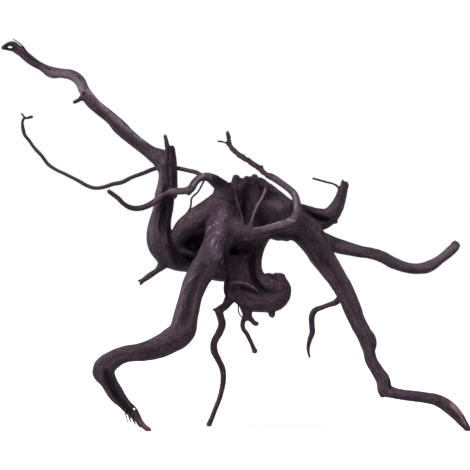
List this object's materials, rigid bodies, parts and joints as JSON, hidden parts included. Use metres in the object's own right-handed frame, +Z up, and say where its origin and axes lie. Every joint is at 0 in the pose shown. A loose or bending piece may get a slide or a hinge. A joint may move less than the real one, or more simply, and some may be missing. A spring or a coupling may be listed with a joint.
{
  "type": "spiderwood root",
  "caption": "Dark, branching dried root with a gnarled stump and long crooked limbs; stands on its own tips as hardscape in a planted tank or terrarium.",
  "frame": {"origin": "on the ground, under the middle of the root's width and depth", "axes": "+X along the root's width, from the long upper limb towards the flat foot; +Y away from the front view; +Z up"},
  "size_m": [0.4712, 0.1703, 0.3908],
  "materials": {
    "dark_wood": "matt, dry, finely grained along the limbs"
  },
  "bodies": {
    "root": {"spiderwood_root": "dark_wood"}
  },
  "joints": []
}
